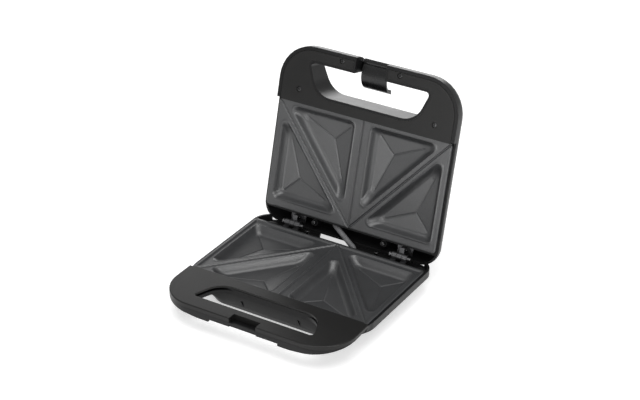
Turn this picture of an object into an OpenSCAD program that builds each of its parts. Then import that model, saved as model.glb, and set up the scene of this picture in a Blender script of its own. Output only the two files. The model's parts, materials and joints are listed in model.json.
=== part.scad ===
// Sandwich toaster with two cooking plates, a hinged lid and a swinging latch.
// Lengths are millimetres. X runs across the front, -Y points towards the handles, +Z is up.
// It stands open on its feet at Z = 0, with the origin under the middle of the open toaster.
// Inside the file Y = 0 is the rear edge of the cooking plates. Heights in the base are
// measured from the rim of the lower plate, and heights in the lid from the face of the
// upper plate, growing into the lid.

/* [Housings] */
// Width across both housings and handles
body_w = 236; // [232:1:250]
// Height of the lower plate's rim above the table
rim_height = 33; // [33:1:40]
// Depth of the hinge bay of the base, behind the plates
bay_d = 22; // [22:1:26]
// Depth of the hinge bay of the lid, behind the plates
lid_bay_d = 18; // [17:1:19]
// Wall thickness of the mouldings
wall = 2.5; // [2:0.1:3]
// Height of the lid above the upper plate's face
lid_h = 38; // [37:1:46]
// Width of the flat underside of the base
foot_print_w = 184; // [176:1:196]
// Width of the flat roof of the lid
roof_w = 172; // [150:1:180]

/* [Handles] */
// How far both handles reach out in front of the plates
handle_reach = 69; // [66:1:76]
// Corner radius of the handles seen from above
handle_corner_r = 43; // [34:1:50]
// Width of a grip bar
grip_w = 18.8; // [17:0.2:21]
// Width of a hand opening at the grip
opening_w = 155; // [140:1:160]
// Radius of the hand opening's corners on the plate side
opening_r = 26.5; // [20:0.5:27]
// Distance from the plates to a hand opening
opening_land = 13.5; // [12:0.5:16]
// Height of the lower handle's face above the rim
lower_face = 1.5; // [1:0.1:2.5]
// Depth of the lower handle's outer skirt below the rim
lower_skirt = 12.5; // [11.5:0.1:14]
// Width of the finger scoop under the lower grip
scoop_w = 90; // [70:1:110]
// Height of the upper handle's face above the upper plate
upper_face = 2; // [1.5:0.1:2.5]
// Height of the upper grip, from the upper plate's face
grip_h = 25; // [24.5:0.5:27]

/* [Cooking plates] */
// Width of the housings' edge beside a cooking plate
plate_edge = 3; // [2.8:0.1:4]
// Depth of a cooking plate
plate_d = 132; // [130:1:136]
// Thickness of the cast plate
plate_t = 2.5; // [2:0.1:3]
// Width of the raised rim round a plate
rim_w = 3; // [2:0.1:4]
// Depth of the plate's land below its rim
land_drop = 1.8; // [1.2:0.1:2]
// Depth of a pocket's wall below the land
pocket_wall = 8.8; // [7:0.1:9]
// Depth of a pocket at its middle, below the land
pocket_depth = 12.5; // [11:0.1:12.8]
// Width of a pocket's sloped wall seen from above
pocket_slope = 6.5; // [5:0.1:8]
// Corner radius of the pockets at the land
pocket_r = 5.5; // [4:0.1:7]
// Width of the band between the pockets at the middle of the plate
band_w = 22; // [20:0.5:26]
// Width of the bands between the pockets along the diagonals
diagonal_w = 12; // [11.5:0.5:14]
// Width of the border between the pockets and the plate's edge
border_w = 7.5; // [6.5:0.1:9]
// Width of a cutting ridge
ridge_w = 5; // [4:0.1:6]
// Gap between the faces of the two plates when the lid is shut
closed_gap = 4; // [3.9:0.1:5]

/* [Hinges] */
// Angle between the plates when the lid is open
open_angle = 105; // [100:1:105]
// Hinge axis behind the plates
axis_y = 13.2; // [12.8:0.1:13.6]
// Hinge axis below the lower plate's rim
axis_drop = 1.2; // [0.8:0.1:1.4]
// Distance of each hinge from the middle of the toaster
hinge_x = 73; // [68:1:84]
// Radius of a hinge pin
hinge_pin_r = 2; // [1.5:0.1:2.2]
// Outer radius of a hinge knuckle
knuckle_r = 4; // [3.6:0.1:4.2]
// Thickness of the hinge steel
hinge_t = 1.5; // [1.2:0.1:1.8]

/* [Latch] */
// Width of the latch
latch_w = 33.2; // [30:0.1:34]
// Outer radius of the latch's bow
latch_bow_r = 19.5; // [19:0.1:20]
// Thickness of the latch's bow
latch_t = 2.4; // [2:0.1:2.6]
// Radius of the latch pin
latch_pin_r = 1.5; // [1.2:0.1:1.8]
// Radius of the latch's knuckle
latch_knuckle_r = 3.3; // [3:0.1:3.5]
// Width of the notch in the lower grip
notch_w = 34.6; // [34.4:0.1:38]
// Width of the slot in the upper grip
slot_w = 40; // [36:0.5:46]

/* [Inside and fasteners] */
// Radius of a heating tube
heater_r = 3.2; // [2.8:0.1:3.3]
// Thickness of a heat shield
shield_t = 0.8; // [0.6:0.1:1]
// Radius of the screws' shanks
screw_r = 1.5; // [1.2:0.1:1.6]
// Radius of the screws' heads
screw_head_r = 2.8; // [2.6:0.1:3]
// Radius of a rubber foot
foot_r = 8.3; // [7:0.1:9]
// Height of a rubber foot
foot_h = 4; // [3.5:0.5:5]
// Radius of the lead's sleeve between base and lid
sleeve_r = 3.2; // [2.5:0.1:3.4]
// Radius of an indicator lens
lens_r = 4; // [3:0.1:5]
// Bore radius of the cord gland
gland_bore_r = 3.5; // [3:0.1:4]

/* [Clearances] */
// Gap between pieces that seat on each other
seat_gap = 0.3; // [0.2:0.05:0.4]
// Radial clearance of a pin or screw in its bore
run_gap = 0.05; // [0.03:0.01:0.1]
// Gap between moving pieces that pass each other
pass_gap = 0.5; // [0.4:0.05:0.6]

/* [Hidden] */
$fn = 48;

eps = 0.01;
big = 400;
body_x = body_w / 2;
plate_w = body_w - 2 * plate_edge;
plate_x = plate_w / 2;
front_y = -(plate_d + handle_reach);
parting = -(lower_face + seat_gap * 2) - 2;

// The handles' corner arcs and the hand opening's arcs
corner_x = body_x - handle_corner_r;
corner_y = front_y + handle_corner_r;
open_front = front_y + grip_w;
open_rear = -(plate_d + opening_land);
side_c = [opening_w / 2 - 30.5, open_rear - opening_r];
small_r = 4;
small_c = [opening_w / 2 - small_r, open_front + small_r];

// The base's edge, the tray under the lower handle and the lid's edge
edge_drop = plate_t + land_drop + seat_gap;
tray_z = -8.5;
tray_t = 2;
lip_top = -2.8;
lip_bottom = -6.6;
ledge_bottom = -12.8;
ledge_front = front_y + 5.5;
ledge_t = 3;
head_seat = 1.9;
cover_t = 2.5;
face_inset = 4.3;
edge_round = 1.2;

// The lid's frame: where its plate's face lies when it is shut, and the hinge axis seen from it
shut_z = rim_height + closed_gap;
lip_h = edge_drop - 1;
axis_z = rim_height - axis_drop;
axis_h = axis_z - shut_z;
grip_top = [front_y + 14, grip_h];
roof_front = [-(plate_d - 8), lid_h];
roof_rear = -3;

// The open toaster's rearmost point, which fixes the place of the origin
function swung_y(p) = (p[0] - axis_y) * cos(open_angle) + (p[1] - axis_h) * sin(open_angle);
rear_y = axis_y + max(swung_y(grip_top), swung_y(roof_front));
mid_y = (front_y + rear_y) / 2;

// The layers of both shells, from the top down. Each is
// [height, half width, front, rear, front radius, rear radius, share of the wall it rises].
base_floor = foot_h - rim_height;
lip_z = 3 - edge_drop;
base_layers = [
    [lip_z, body_x, open_rear, bay_d, 26, 22, 0],
    [-10.2, body_x, open_rear, bay_d, 26, 22, 0],
    [-13.5, body_x - 3.8, open_rear + 0.4, bay_d - 1.4, 27, 21, 0.2],
    [-18, body_x - 12, open_rear + 1, bay_d - 4.5, 29, 20, 0.4],
    [-24, body_x - 22, open_rear + 2.4, bay_d - 10, 30, 19, 0.6],
    [base_floor, foot_print_w / 2, open_rear + 5, bay_d - 16, 26, 18, 1]];
lid_layers = [
    [lid_h, roof_w / 2, roof_front[0], roof_rear, 26, 20, -1],
    [grip_h + 7, body_x - 18.5, front_y + 42, roof_rear + 8, 32, 21, -0.9],
    [grip_h, body_x - 11, grip_top[0], lid_bay_d - 6.5, 36, 21, -0.8],
    [grip_h - 2, body_x - 8.4, grip_top[0] - 6.2, lid_bay_d - 5, 38, 21, -0.6],
    [18, body_x - 3.8, front_y + 3.8, lid_bay_d - 2.6, 41, 22, -0.3],
    [12, body_x - 1, front_y + 1, lid_bay_d - 0.8, 42.5, 22, -0.1],
    [7, body_x, front_y, lid_bay_d, handle_corner_r, 22, 0],
    [-upper_face, body_x, front_y, lid_bay_d, handle_corner_r, 22, 0]];

// The plate's three sorts of line: the middle, the two diagonals and the pockets' corners
diagonal = atan2(plate_d, plate_x);
band = band_w / 2;
slant = diagonal_w / 2;
pocket_y0 = -border_w - 2.5;
pocket_y1 = -(plate_d - 6);
pocket_x1 = plate_x - border_w;

// A diagonal's point at a given height, moved sideways into the front or the rear pocket
function on_diagonal_x(y, side) = (-y - side / cos(diagonal)) * plate_x / plate_d;
function on_diagonal_y(x, side) = -(x * plate_d / plate_x + side / cos(diagonal));
front_pocket = [[band, pocket_y1], [on_diagonal_x(pocket_y1, slant), pocket_y1],
    [band, on_diagonal_y(band, slant)]];
rear_pocket = [[on_diagonal_x(pocket_y0, -slant), pocket_y0],
    [pocket_x1, on_diagonal_y(pocket_x1, -slant)], [pocket_x1, pocket_y0]];

// The pocket's section as [distance in from the outline, depth below the land]
pocket_section = [[-0.36 * pocket_slope, -0.144 * pocket_wall],
    [0.15 * pocket_slope, 0.06 * pocket_wall], [0.27 * pocket_slope, 0.2 * pocket_wall],
    [0.62 * pocket_slope, 0.75 * pocket_wall], [0.8 * pocket_slope, 0.93 * pocket_wall],
    [pocket_slope, pocket_wall]];
// The back of the pocket, a plate's thickness away
back_section = [[-0.7 * plate_t, 0.4], [-0.6 * plate_t, 1.2 * plate_t],
    [0.38 * pocket_slope, 0.72 * pocket_wall + 0.6 * plate_t],
    [0.8 * pocket_slope, pocket_wall + 0.9 * plate_t]];
plate_back = land_drop + plate_t;
pillar_x = 62;
pillar_y = -pillar_x * plate_d / plate_x;
pillars = [[0, 32 - plate_d], [pillar_x, pillar_y], [-pillar_x, pillar_y]];
heater_z = land_drop + pocket_depth + 0.95 * plate_t + seat_gap + heater_r;
shield_z = heater_z + heater_r + seat_gap;
tab_x = 47;
tab_y = 7;
tab_w = 12;
tab_reach = 11;
seat_w = 4.2;
shield_x = plate_x - 27;

// The latch's pivot in the lid's frame, and its bow in the latch's own frame
pivot_y = front_y + 5;
pivot_h = 13.5;
bow_y = latch_bow_r - 9.3;
bow_z = -17.5;
hook_top = -30.6;
hook_reach = 3.5;
slot_depth = pivot_h + latch_knuckle_r + pass_gap;
hook_h = 6.8;
taper_side = 0.108;
taper_rear = 0.062;
bow_c = [bow_y * cos(open_angle) - bow_z * sin(open_angle),
    bow_y * sin(open_angle) + bow_z * cos(open_angle)];
stop_y = 8;
stop_h = pivot_h + bow_c[1] + seat_gap
    - sqrt(pow(latch_bow_r - latch_t, 2) - pow(bow_c[0] - stop_y, 2));

// Hinge leaves: the knuckles' spans along X, measured from the hinge's middle
knuckle_in = [-8, -1.5];
knuckle_mid = [-1, 5];
knuckle_out = [5.5, 12];
leaf_y = wall + seat_gap + 0.2;
leaf_reach = 14;
leaf_depth = 18;
hinge_screw_y = 9;

cover_screws_upper = [[38, front_y + 8.6], [body_x - 28, -(plate_d + 15.4)]];
cover_screws_lower = [[50, front_y + 10], [body_x - 32, front_y + 15]];
lens_x = 9;
lens_y = roof_front[0] + 12;
gland_x = 46;
gland_z = -20;
notch_gap = [-37.5, 8];

// The sleeve's route in the base's frame, from the clamp up into the lid
sleeve_route = [[17, 3, -17.5], [17, 6, -17.4], [16.4, 8.5, -15.4], [14.8, 10.5, -11.4],
    [12.7, 12.3, -7.6], [7, 14.8, -5.7], [1.5, 17.3, -3.8], [-4, 20, -2], [-9.5, 22.6, -0.2],
    [-15, 25.3, 1.6], [-20.3, 28.3, 3], [-23, 30.6, 4.3],
    [-24.2, 32, 6.6], [-24.5, 32.8, 9.4]];

// Places for the base's and the lid's own frames
module at_base() translate([0, -mid_y, rim_height]) children();

module at_lid() translate([0, axis_y - mid_y, axis_z]) rotate([-open_angle, 0, 0])
    translate([0, -axis_y, shut_z - axis_z]) children();

module mirrored() {
    children();
    mirror([1, 0, 0]) children();
}

// One layer of a shell drawn in by t, as a ring of points on its rounded outline
layer_steps = 9;
function layer_ring(l, t) = [for (c = [0 : 3]) let (
        front = c == 0 || c == 3, r = max((front ? l[4] : l[5]) - t, 2),
        x = (c < 2 ? 1 : -1) * (l[1] - t - r),
        y = front ? l[2] + t + r : l[3] - t - r)
    for (k = [0 : layer_steps]) let (a = 90 * (c - 1 + k / layer_steps))
        [x + r * cos(a), y + r * sin(a), l[0] + t * l[6]]];

// The faces between rings of n points that follow each other downwards
function strip_faces(n, last) = [for (k = [0 : last - 1]) for (j = [0 : n - 1])
    let (a = k * n + j, b = k * n + (j + 1) % n) each [[a, b, b + n], [a, b + n, a + n]]];

// A closed solid through rings that follow each other downwards
module loft(rings) {
    n = len(rings[0]);
    last = len(rings) - 1;
    ends = [[for (j = [n - 1 : -1 : 0]) j], [for (j = [0 : n - 1]) last * n + j]];
    polyhedron([for (ring = rings) each ring], concat(ends, strip_faces(n, last)),
        convexity = 6);
}

module shell_body(layers) loft([for (l = layers) layer_ring(l, 0)]);

// The hollow of a shell: its layers drawn in by the wall, from z1 down to z0
module shell_hollow(layers) loft([for (l = layers) layer_ring(l, wall)]);

// The handle seen from above, drawn in by i, from its front to y1
module handle_outline(i = 0, y1 = -10) {
    translate([-(body_x - i), corner_y]) square([2 * (body_x - i), y1 - corner_y]);
    translate([-corner_x, front_y + i]) square([2 * corner_x, y1 - front_y - i]);
    intersection() {
        for (s = [-1, 1]) translate([s * corner_x, corner_y])
            circle(r = handle_corner_r - i, $fn = 96);
        translate([-body_x, front_y - 1])
            square([body_w, handle_corner_r + 1.5]);
    }
}

// The D-shaped hand opening, grown by g: two arcs a side with a straight line between them
opening_turn = let (step = small_c - side_c)
    atan2(step[1], step[0]) + acos((opening_r - small_r) / norm(step));
function opening_side(g) = concat(
    [for (k = [0 : 5]) let (a = -90 + (opening_turn + 90) * k / 5)
        small_c + (small_r + g) * [cos(a), sin(a)]],
    [for (k = [0 : 8]) let (a = opening_turn + (90 - opening_turn) * k / 8)
        side_c + (opening_r + g) * [cos(a), sin(a)]]);
function opening_points(g) = let (side = opening_side(g), n = len(side))
    concat(side, [for (k = [n - 1 : -1 : 0]) [-side[k][0], side[k][1]]]);

module opening_outline(g = 0) polygon(opening_points(g));

// A moulding's edge section swept round the handle, from the side ends to the front
module round_handle(y1) {
    mirrored() {
        translate([corner_x, corner_y, 0]) rotate([0, 0, -90])
            rotate_extrude(angle = 90, $fn = 96) translate([handle_corner_r, 0]) children();
        translate([body_x, y1, 0]) rotate([90, 0, 0])
            linear_extrude(y1 - corner_y) children();
    }
    translate([-corner_x, front_y, 0]) rotate([90, 0, -90]) mirror([0, 0, 1])
        linear_extrude(2 * corner_x) children();
}

// A wall's section, t thick, from z0 to z1, with its top outer edge rounded
module edge_section(t, z0, z1) polygon(concat([[-t, z0], [0, z0]],
    [for (k = [0 : 4]) [edge_round * (cos(22.5 * k) - 1), z1 + edge_round * (sin(22.5 * k) - 1)]],
    [[-t, z1]]));

module block(x, y, z) translate([x[0], y[0], z[0]]) cube([x[1] - x[0], y[1] - y[0], z[1] - z[0]]);

// A pan-head screw whose head's underside is at the origin, pointing along -Z
module screw(len, head_h = 1.8) {
    cylinder(r = screw_head_r, h = head_h);
    translate([0, 0, -len]) cylinder(r = screw_r, h = len + eps);
}

// A rounded triangle drawn in by d, with rounded corners of radius r, as a ring of points
function unit(v) = v / norm(v);
function corner_ring(t, i, d, r) =
    let (a = t[(i + 2) % 3], b = t[i], c = t[(i + 1) % 3],
        u = unit(a - b), w = unit(c - b), half = acos(u * w) / 2,
        m = b + unit(u + w) * (d + r) / sin(half),
        n0 = cross([0, 0, 1], [u[0], u[1], 0]), n1 = cross([w[0], w[1], 0], [0, 0, 1]),
        a0 = atan2(n0[1], n0[0]), a1 = atan2(n1[1], n1[0]), sweep = (a1 - a0 + 720) % 360)
    [for (k = [0 : corner_steps]) m + r * [cos(a0 + sweep * k / corner_steps),
        sin(a0 + sweep * k / corner_steps)]];
corner_steps = 4;
function triangle_ring(t, d, r, z) =
    [for (i = [0 : 2]) for (p = corner_ring(t, i, d, r)) [p[0], p[1], z]];
function incentre(t) =
    let (a = norm(t[1] - t[2]), b = norm(t[2] - t[0]), c = norm(t[0] - t[1]))
    (a * t[0] + b * t[1] + c * t[2]) / (a + b + c);

// A triangular hollow: rings of the outline drawn in down its wall, then three facets that
// meet in a Y at the deepest point
module pocket_solid(t, section, r0, r1, depth) {
    n = 3 * (corner_steps + 1);
    last = len(section) - 1;
    rings = [for (k = [0 : last]) triangle_ring(t, section[k][0],
        r0 + (r1 - r0) * k / last, -section[k][1])];
    apex = incentre(t);
    points = concat([for (ring = rings) each ring], [[apex[0], apex[1], -depth]]);
    floor_faces = [for (j = [0 : n - 1])
        [last * n + j, last * n + (j + 1) % n, (last + 1) * n]];
    polyhedron(points, concat([[for (j = [n - 1 : -1 : 0]) j]], strip_faces(n, last),
        floor_faces), convexity = 4);
}

// All four pockets of a plate, or their backs
module pockets(section, r0, r1, depth) {
    mirrored() for (t = [front_pocket, rear_pocket]) pocket_solid(t, section, r0, r1, depth);
}

module plate_outline(i = 0) {
    r = 5 - min(i, 3);
    x = plate_x - i;
    translate([-x, -plate_d + i]) square([2 * x, plate_d - 2 * i - r]);
    translate([-x + r, -plate_d + i]) square([2 * (x - r), plate_d - 2 * i]);
    for (s = [-1, 1]) translate([s * (x - r), -i - r]) circle(r = r);
}

// A cutting line's section swept along the middle and the diagonals, at height z
module cutting_lines(w, h, z) {
    trim = rim_w;
    translate([0, 0, z]) intersection() {
        linear_extrude(10, center = true) plate_outline(trim - eps);
        for (turn = [0, 90 - diagonal, diagonal - 90]) rotate([0, 0, turn])
            rotate([90, 0, 0]) linear_extrude(big) polygon([[-w / 2, -eps], [w / 2, -eps],
                [w / 5, h], [-w / 5, h]]);
    }
}

// A cooking plate with its face up and its rim at Z = 0. Its land lies this far below.
module cooking_plate(land) difference() {
    union() {
        translate([0, 0, -land - plate_t]) linear_extrude(plate_t) plate_outline();
        translate([0, 0, -plate_back]) linear_extrude(plate_back) difference() {
            plate_outline();
            plate_outline(rim_w);
        }
        translate([0, 0, -land]) pockets(back_section, pocket_r + 1, pocket_r,
            pocket_depth + 0.95 * plate_t);
        for (p = pillars) translate([p[0], p[1], land_drop - land - shield_z])
            cylinder(r = 4, h = shield_z - land_drop - 1);
        for (s = [-1, 1]) translate([s * tab_x - tab_w / 2, -2, -plate_back])
            cube([tab_w, tab_reach + 2, plate_t]);
    }
    translate([0, 0, -land]) pockets(pocket_section, pocket_r, 3, pocket_depth);
    for (p = pillars) translate([p[0], p[1], land_drop - land - shield_z - eps])
        cylinder(r = screw_r + run_gap, h = shield_z - plate_back + 0.5);
    for (s = [-1, 1]) translate([s * tab_x, tab_y, -big / 2])
        cylinder(r = screw_r + 0.3, h = big);
}

// ---- base ----

module boss(x, y, z0, z1, r = 4.2) translate([x, y, z0]) cylinder(r = r, h = z1 - z0);

module hole(x, y, z0, z1, r) translate([x, y, z0]) cylinder(r = r, h = z1 - z0);

// The frame that a plate's edge seats on, with the wall behind it, from z0 to z1
module seat_frame(z0, z1) translate([0, 0, z0]) linear_extrude(z1 - z0) difference() {
    translate([-body_x + 1, -plate_d - 2]) square([body_w - 2, plate_d + 4.7]);
    plate_outline(seat_w);
}

// The room that the plate's two tabs take over the rear wall
module tab_room(z0, z1) for (s = [-1, 1])
    block([s * tab_x - tab_w / 2 - seat_gap, s * tab_x + tab_w / 2 + seat_gap],
        [-1, tab_reach + seat_gap], [z0, z1]);

// What lies below the lower handle's sloping underside, raised by h. It rises from the middle
// of the grip to the sides and to the rear.
module under_handle(h = 0) mirrored() translate([scoop_w / 2 + 15, front_y, h - lower_skirt])
    rotate([atan(taper_rear), 0, 0]) rotate([0, -atan(taper_side), 0])
        translate([0, -20, -60]) cube([100, 110, 60]);

// The tray of the lower handle: a skirt, a panel and a wall round the hand opening
module lower_tray() difference() {
    tray_walls();
    under_handle();
}

// The sloping part of the tray's panel, from z0 to z1
module sloped_panel(i, z0, z1) intersection() {
    translate([0, 0, z0]) linear_extrude(z1 - z0) difference() {
        handle_outline(i, -plate_d - 3);
        opening_outline(i > wall ? wall + 0.4 : 0);
    }
    difference() {
        under_handle(tray_t);
        under_handle();
    }
}

module tray_walls() {
    tray_rear = -plate_d - 3;
    round_handle(tray_rear) translate([-wall, -lower_skirt])
        square([wall, parting + lower_skirt]);
    translate([0, 0, tray_z]) linear_extrude(tray_t) difference() {
        handle_outline(wall - 0.6, tray_rear);
        opening_outline();
    }
    sloped_panel(wall - 0.6, tray_z, parting);
    sloped_panel(wall + 0.4, parting - 0.5, lower_face - cover_t - seat_gap);
    translate([0, 0, tray_z]) linear_extrude(parting - tray_z) difference() {
        opening_outline(wall);
        opening_outline();
    }
    block([-24, 24], [ledge_front, open_front - 1], [ledge_bottom, tray_z + eps]);
    for (p = cover_screws_lower) mirrored() boss(p[0], p[1], tray_z + 1, tray_z + 3.5);
}

module lower_housing() color("dimgray") at_base() difference() {
    union() {
        difference() {
            shell_body(base_layers);
            difference() {
                shell_hollow(concat([[1, body_x, open_rear, bay_d, 26, 22, 0]], base_layers));
                block([-big, big], [0.2, wall + 0.2], [-big, big]);
                for (s = [-1, 1]) {
                    boss(s * hinge_x, hinge_screw_y, base_floor, -leaf_depth - 0.1, 4.8);
                    boss(s * tab_x, tab_y, base_floor, -plate_back - 0.1, 4);
                }
                block([11, 23], [wall, 9], [base_floor, -21.5]);
            }
        }
        lower_tray();
        seat_frame(-edge_drop - ledge_t, lip_z);
    }
    // The plate's recess, and the rear wall cut down for the lid to swing behind it
    translate([0, 0, -edge_drop]) linear_extrude(big) plate_outline(-0.3);
    tab_room(-plate_back - 0.1, big);
    block([-body_x, body_x], [-plate_d - 3, -plate_d - 0.1], [parting, big]);
    block([-body_x + 13.5, body_x - 13.5], [wall + 0.5, bay_d + 1], [-8.9, big]);
    block(notch_gap, [wall + 3, bay_d + 1], [-16, big]);
    // Finger scoop, latch notch and the way in for the latch's hook
    block([-scoop_w / 2, scoop_w / 2], [front_y - 1, front_y + wall + 0.5],
        [-lower_skirt - 1, -9.5]);
    block([-notch_w / 2, notch_w / 2], [front_y - 1, ledge_front], [-big, lip_bottom]);
    block([-notch_w / 2, notch_w / 2], [front_y - 1, ledge_front], [lip_top, big]);
    for (p = cover_screws_lower) mirrored() {
        hole(p[0], p[1], tray_z - 1, tray_z + 5, screw_r + 0.3);
        hole(p[0], p[1], tray_z - 1, tray_z + head_seat, screw_head_r + 0.3);
    }
    // Holes for screws, the gland and the sleeve, and the recesses in the front wall
    for (s = [-1, 1]) {
        hole(s * hinge_x, hinge_screw_y, -leaf_depth - 8, big, screw_r + run_gap);
        hole(s * tab_x, tab_y, -plate_back - 12, big, screw_r + run_gap);
        translate([s * 37.5, open_rear - 1, -14]) rotate([-90, 0, 0])
            linear_extrude(3) polygon([[-2.8, 0], [2.4, 0], [1.6, 10]]);
    }
    translate([gland_x, wall + 3, gland_z]) rotate([-90, 0, 0]) cylinder(r = 5, h = big);
    translate([gland_x, -1, gland_z]) rotate([-90, 0, 0])
        cylinder(r = gland_bore_r + 0.2, h = 6);
    translate([sleeve_route[0][0], -1, sleeve_route[0][2]]) rotate([-90, 0, 0])
        cylinder(r = sleeve_r + 0.5, h = 4.5);
}

module lower_handle_cover() color([0.25, 0.25, 0.25]) at_base() difference() {
    union() {
        difference() {
            round_handle(-plate_d - 0.4) edge_section(wall, parting + seat_gap, lower_face);
            under_handle();
        }
        translate([0, 0, lower_face - cover_t]) linear_extrude(cover_t)
            handle_outline(edge_round + 0.3, -plate_d - 0.4);
        // Lip over the front edge of the plate
        block([-plate_x + 3, plate_x - 3], [-plate_d - 1, -plate_d + 1],
            [seat_gap, lower_face]);
        for (p = cover_screws_lower) mirrored()
            boss(p[0], p[1], tray_z + 3.5, lower_face - 1, 4);
        // Walls of the latch notch
        block([-notch_w / 2 - 1.5, notch_w / 2 + 1.5], [ledge_front - eps, ledge_front + 6.5],
            [parting - 2, lower_face - 1]);
    }
    translate([0, 0, -big / 2]) linear_extrude(big) opening_outline();
    translate([0, 0, -big / 2 + parting + seat_gap]) linear_extrude(big / 2)
        opening_outline(wall + 0.3);
    block([-notch_w / 2, notch_w / 2], [front_y - 1, ledge_front + 5], [-big, big]);
    for (p = cover_screws_lower) mirrored()
        hole(p[0], p[1], tray_z, lower_face - 1, screw_r + run_gap);
}

module lower_plate() color([0.22, 0.23, 0.25]) at_base() {
    cooking_plate(land_drop);
    cutting_lines(ridge_w, land_drop - 0.2, -land_drop);
}

// A heating tube bent to a loop with its two ends at the rear, and their thinner pins
module heater() {
    x = plate_x - 37;
    y0 = -20;
    y1 = 20 - plate_d;
    r = 20;
    end = 26;
    mirrored() {
        for (k = [[x - r, y1 + r, -90], [x - r, y0 - r, 0]])
            translate([k[0], k[1], 0]) rotate([0, 0, k[2]])
                rotate_extrude(angle = 90) translate([r, 0]) circle(r = heater_r, $fn = 24);
        translate([x, y1 + r, 0]) rotate([-90, 0, 0])
            cylinder(r = heater_r, h = y0 - y1 - 2 * r, $fn = 24);
        translate([end, y0, 0]) rotate([0, 90, 0]) cylinder(r = heater_r, h = x - r - end,
            $fn = 24);
        translate([end - 8, y0, 0]) rotate([0, 90, 0]) cylinder(r = 1.2, h = 8 + eps, $fn = 24);
    }
    translate([-(x - r), y1, 0]) rotate([0, 90, 0])
        cylinder(r = heater_r, h = 2 * (x - r), $fn = 24);
}

module lower_heater() color("silver") at_base() translate([0, 0, -heater_z]) heater();

// A pressed heat shield with turned-up edges, lying under the heating tube
module heat_shield() difference() {
    translate([-shield_x, -plate_d + 8, 0]) cube([2 * shield_x, plate_d - 14, shield_t]);
    for (p = pillars) hole(p[0], p[1], -1, 2, screw_r + 0.3);
    for (x = [-60 : 20 : 60]) hole(x, 44 - plate_d, -1, 2, 3);
}

module lower_heat_shield() color("lightgray") at_base()
    translate([0, 0, -shield_z - shield_t]) heat_shield();

module shield_screws() for (p = pillars) translate([p[0], p[1], -shield_z - shield_t])
    rotate([180, 0, 0]) screw(7, 1.4);

module lower_shield_screws() color("silver") at_base() shield_screws();

module plate_screws() for (s = [-1, 1]) translate([s * tab_x, tab_y, -land_drop]) screw(10);

module lower_plate_screws() color("silver") at_base() plate_screws();

module lower_cover_screws() color("silver") at_base() for (p = cover_screws_lower) mirrored()
    translate([p[0], p[1], tray_z + head_seat - 0.1]) rotate([180, 0, 0]) screw(7);

module rubber_feet() color("black") translate([0, -mid_y, 0])
    for (s = [-1, 1]) for (y = [open_rear + 17.5, -4.5])
        translate([s * (foot_print_w / 2 - 21), y, 0]) {
        cylinder(r1 = foot_r - 0.8, r2 = foot_r, h = 1);
        translate([0, 0, 1]) cylinder(r = foot_r, h = foot_h - 1);
    }

// A cut-out in its sleeve, strapped to the back of the lower plate
module thermal_fuse() color("white") at_base() translate([0, -16, -plate_back - 2.3]) {
    rotate([0, 90, 0]) cylinder(r = 2.3, h = 24, center = true);
    block([-1, 1], [-7, 7], [0.6, 2.3]);
}

module terminal_block() color("ivory") at_base() difference() {
    block([-15, 15], [open_rear + 8.5, open_rear + 16],
            [base_floor + wall + 0.1, base_floor + wall + 9]);
    for (x = [-10, 0, 10]) hole(x, open_rear + 12.5, base_floor + wall + 3, 0, 1.8);
}

module cord_gland() color("black") at_base() translate([gland_x, wall + 3.3, gland_z])
    rotate([-90, 0, 0]) difference() {
        union() {
            cylinder(r = 4.9, h = bay_d - wall);
            translate([0, 0, bay_d - wall - 3.3 + seat_gap]) cylinder(r1 = 7, r2 = 6, h = 4);
        }
        translate([0, 0, -1]) cylinder(r = gland_bore_r, h = big);
    }

// The saddle that holds the sleeve down in the base
module sleeve_clamp() color("dimgray") at_base() difference() {
    block([11, 23], [3.2, 8.6], [-21.5, -11.5]);
    translate([sleeve_route[0][0], 0, sleeve_route[0][2]]) rotate([-90, 0, 0])
        cylinder(r = sleeve_r + 0.3, h = 20);
    block([11 - 1, 23 + 1], [5.6, 20], [-18, 0]);
}

// A tube swept through the route's points, with rings square to it
module tube_along(route, r, sides) {
    last = len(route) - 1;
    way = [for (i = [0 : last]) unit(route[min(i + 1, last)] - route[max(i - 1, 0)])];
    rings = [for (i = [0 : last])
        let (a = unit(cross(way[i], [1, 0.3, 0])), b = cross(way[i], a))
        for (k = [0 : sides - 1])
            route[i] + r * (a * cos(360 * k / sides) + b * sin(360 * k / sides))];
    faces = [for (i = [0 : last - 1]) for (k = [0 : sides - 1])
        let (p = i * sides + k, q = i * sides + (k + 1) % sides)
        each [[p, q + sides, q], [p, p + sides, q + sides]]];
    ends = [[for (k = [0 : sides - 1]) k],
        [for (k = [sides - 1 : -1 : 0]) last * sides + k]];
    polyhedron(rings, concat(faces, ends), convexity = 6);
}

module wire_sleeve() color("gray") at_base() tube_along(sleeve_route, sleeve_r, 12);

// ---- hinges ----

module knuckle(span) translate([span[0], 0, 0]) rotate([0, 90, 0])
    cylinder(r = knuckle_r, h = span[1] - span[0]);

// A hinge leaf in the base's frame. Its knuckles are round the axis, its arm runs forward
// below them, and it turns down behind the plate to a foot that is screwed to a boss.
module hinge_leaf(spans) difference() {
    union() {
        translate([0, axis_y, -axis_drop]) for (s = spans) knuckle(s);
        for (s = spans) block(s, [leaf_y, axis_y], [-axis_drop - knuckle_r,
            -axis_drop - knuckle_r + hinge_t]);
        block([spans[0][0], spans[len(spans) - 1][1]], [leaf_y, leaf_y + hinge_t],
            [-leaf_depth, -axis_drop - knuckle_r + hinge_t]);
        block([-leaf_reach + 4, leaf_reach - 4], [leaf_y, leaf_reach],
            [-leaf_depth, -leaf_depth + hinge_t]);
    }
    translate([-20, axis_y, -axis_drop]) rotate([0, 90, 0])
        cylinder(r = hinge_pin_r + run_gap, h = 40);
    hole(0, hinge_screw_y, -leaf_depth - 1, -leaf_depth + 3, screw_r + 0.3);
}

module lower_hinge(s) color("silver") at_base() translate([s * hinge_x, 0, 0])
    hinge_leaf([knuckle_in, knuckle_out]);

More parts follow.
